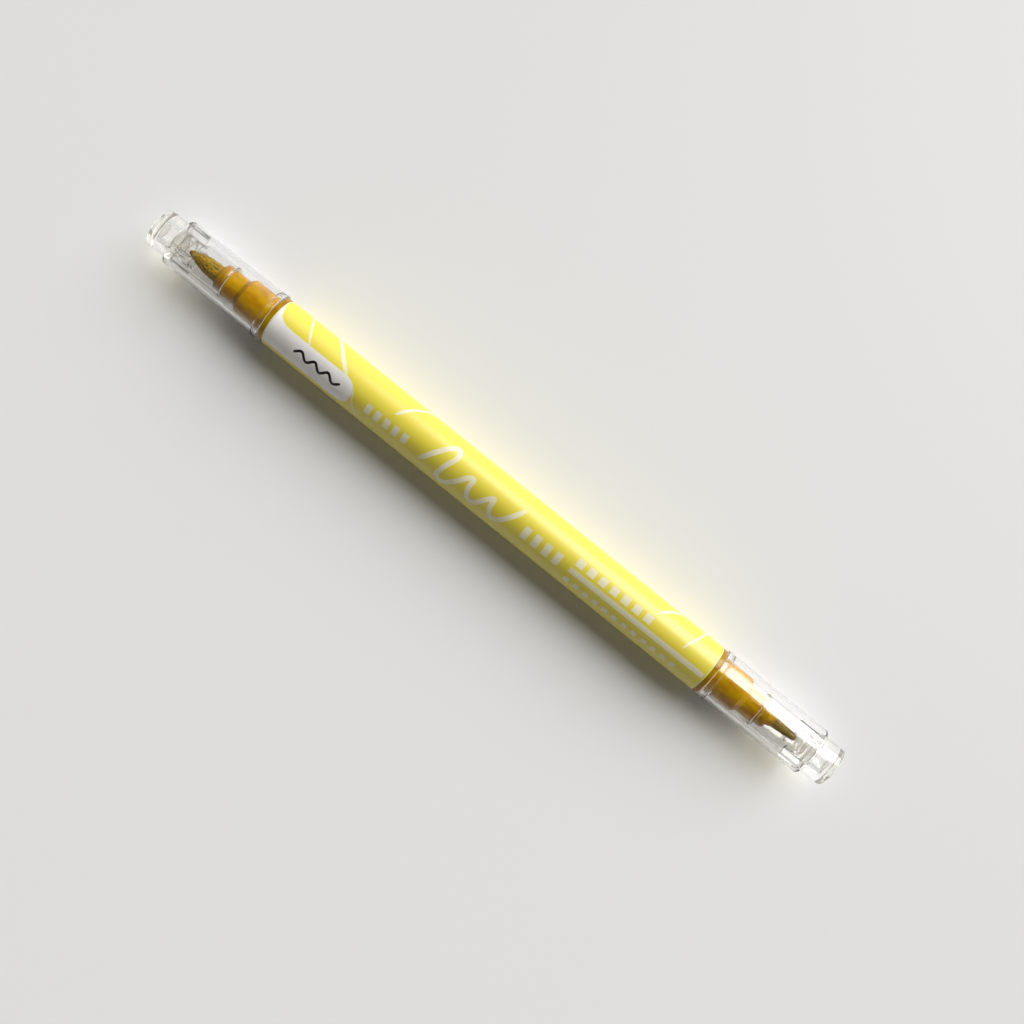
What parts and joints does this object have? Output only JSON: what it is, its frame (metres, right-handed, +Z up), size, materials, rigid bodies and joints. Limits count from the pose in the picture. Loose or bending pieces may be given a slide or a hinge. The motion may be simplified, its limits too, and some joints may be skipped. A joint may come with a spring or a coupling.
{
  "type": "brush pen",
  "caption": "Slim round pen with a flexible brush nib at one end, a fine bullet nib at the other and clear push-on caps with inner sealing caps.",
  "frame": {"origin": "on the ground plane under the middle of the pen's length and axis, the bottom centre of its box", "axes": "+X along the pen from the brush end to the fine end, +Z up from the surface it lies on, +Y across it"},
  "size_m": [0.1544, 0.0096, 0.0097],
  "materials": {
    "barrel_plastic": "gloss pale yellow",
    "label_film": "gloss printed film, pale yellow with white shapes",
    "reservoir_fibre": "bonded fibre soaked with ink",
    "wrap_film": "thin clear film",
    "section_plastic": "translucent amber gold moulding",
    "brush_fibre": "olive gold fibre with fine glints",
    "fine_fibre": "dense grey olive fibre",
    "clear_plastic": "water-clear moulding",
    "inner_cap_plastic": "clear, slightly milky moulding"
  },
  "bodies": {
    "pen": {"barrel": "barrel_plastic", "label_sleeve": "label_film", "reservoir_core": "reservoir_fibre", "reservoir_wrap": "wrap_film", "brush_section": "section_plastic", "brush_nib": "brush_fibre", "fine_section": "section_plastic", "fine_nib": "fine_fibre"},
    "brush_cap": {"brush_cap_shell": "clear_plastic", "brush_cap_liner": "inner_cap_plastic"},
    "fine_cap": {"fine_cap_shell": "clear_plastic", "fine_cap_liner": "inner_cap_plastic"}
  },
  "joints": [
    {"name": "brush_cap_pull", "type": "slide", "parent": "pen", "child": "brush_cap", "axis": [-1, 0, 0], "range_m": [0, 0.04]},
    {"name": "fine_cap_pull", "type": "slide", "parent": "pen", "child": "fine_cap", "axis": [1, 0, 0], "range_m": [0, 0.04]}
  ]
}
